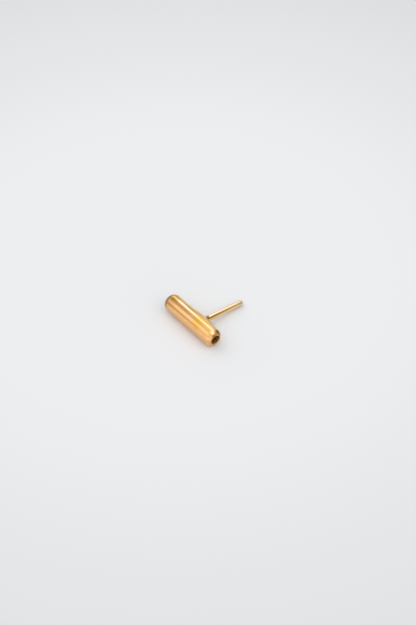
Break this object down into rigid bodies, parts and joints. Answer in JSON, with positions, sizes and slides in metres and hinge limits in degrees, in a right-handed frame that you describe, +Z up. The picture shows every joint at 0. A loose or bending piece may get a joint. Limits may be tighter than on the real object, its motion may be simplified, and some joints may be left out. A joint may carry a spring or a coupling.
{
  "type": "bar stud earring",
  "caption": "Polished gold bar stud earring: a short thick-walled tube with rounded open ends, lying on its side, and a straight ear post soldered off-centre to its back.",
  "frame": {"origin": "on the table, at the centre of the box round the whole stud as it lies", "axes": "+Z up from the table, +X along the bar towards the end nearer the post, +Y from the bar towards the post's tip"},
  "size_m": [0.0098, 0.0092, 0.0025],
  "materials": {
    "polished_gold": "polished yellow gold"
  },
  "bodies": {
    "root": {"bar_stud": "polished_gold"}
  },
  "joints": []
}
